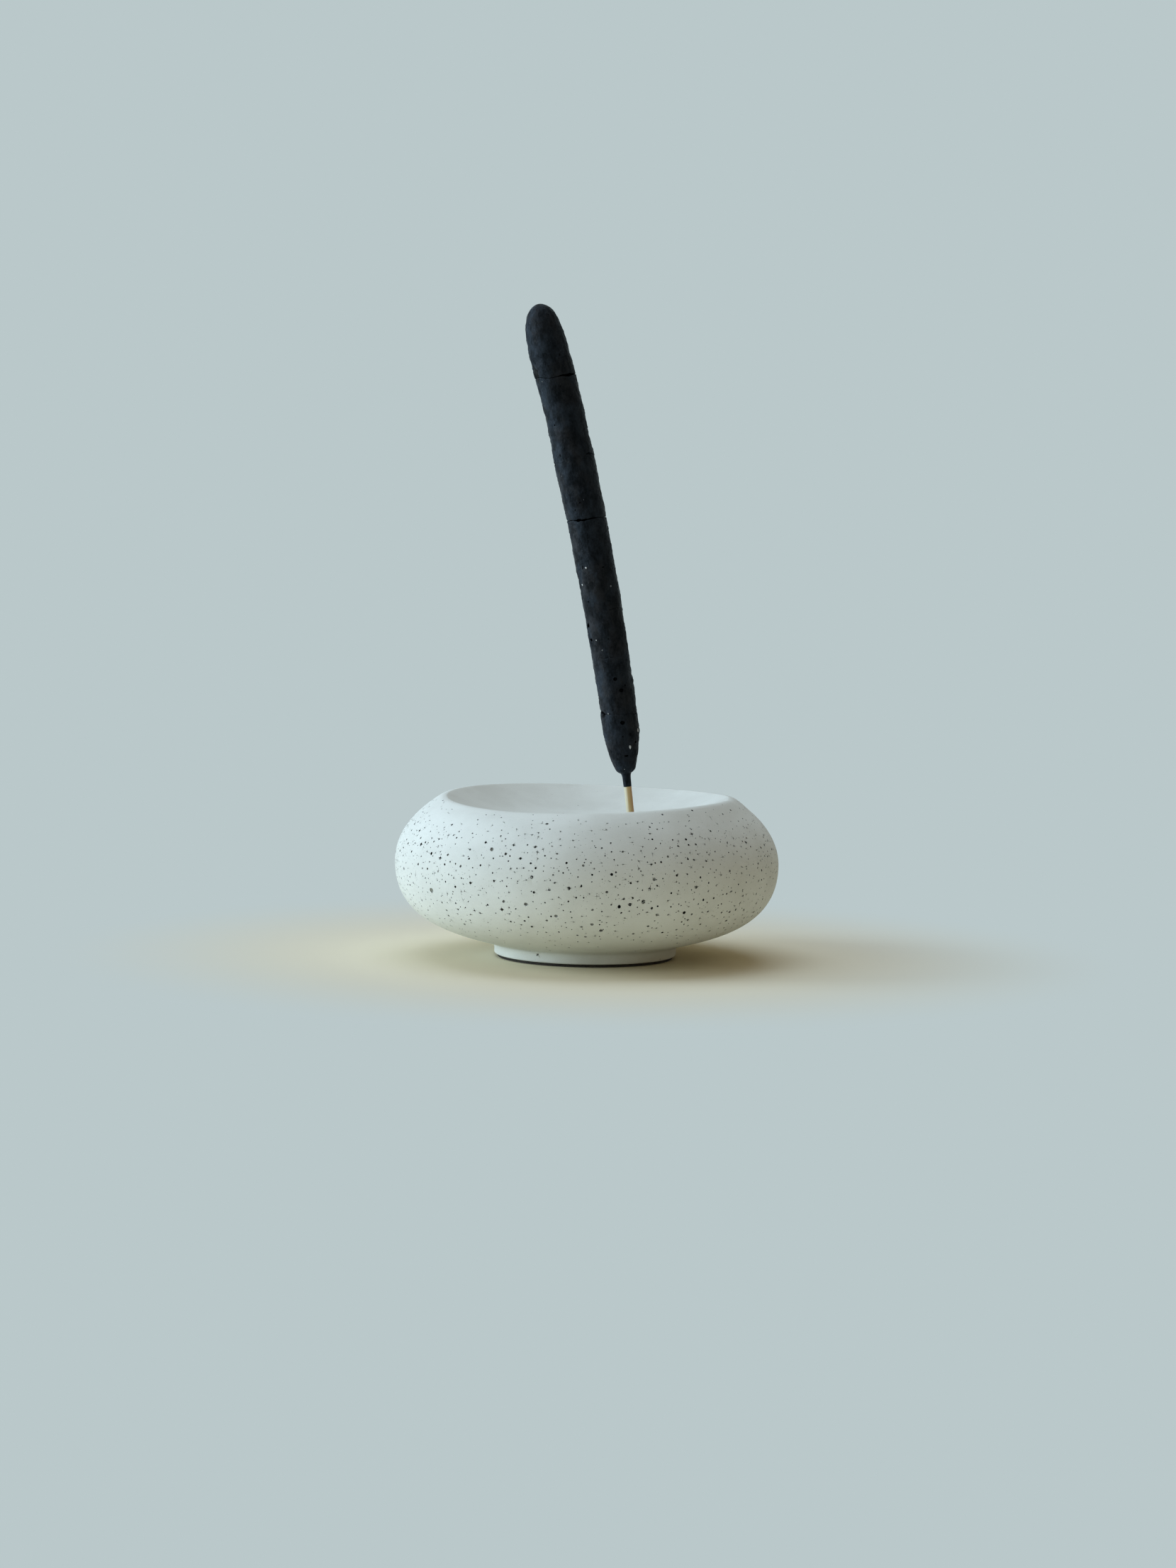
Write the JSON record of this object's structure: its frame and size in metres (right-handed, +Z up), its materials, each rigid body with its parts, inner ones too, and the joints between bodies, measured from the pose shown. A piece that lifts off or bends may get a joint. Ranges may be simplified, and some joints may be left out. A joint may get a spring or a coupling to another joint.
{
  "type": "incense holder",
  "caption": "Round cast bowl like a squashed pebble on a low padded foot, with a shallow dish and a slanted socket that holds a thick, removable incense stick.",
  "frame": {"origin": "middle of the pad's underside, where the holder meets the surface it stands on", "axes": "+Z up, the stick's way up; +X to the side where the socket is; +Y away from the front"},
  "size_m": [0.105, 0.105, 0.1779],
  "materials": {
    "cast_stone": "matte",
    "pad": "matte",
    "bamboo": "satin",
    "incense_paste": "matte"
  },
  "bodies": {
    "holder": {"bowl": "cast_stone", "foot_pad": "pad"},
    "stick": {"bamboo_core": "bamboo", "incense_butt": "incense_paste", "incense_middle": "incense_paste", "incense_upper": "incense_paste", "incense_tip": "incense_paste"}
  },
  "joints": [
    {"name": "stick_lift", "type": "slide", "parent": "holder", "child": "stick", "axis": [-0.1167, 0, 0.9932], "range_m": [0, 0.025]}
  ]
}
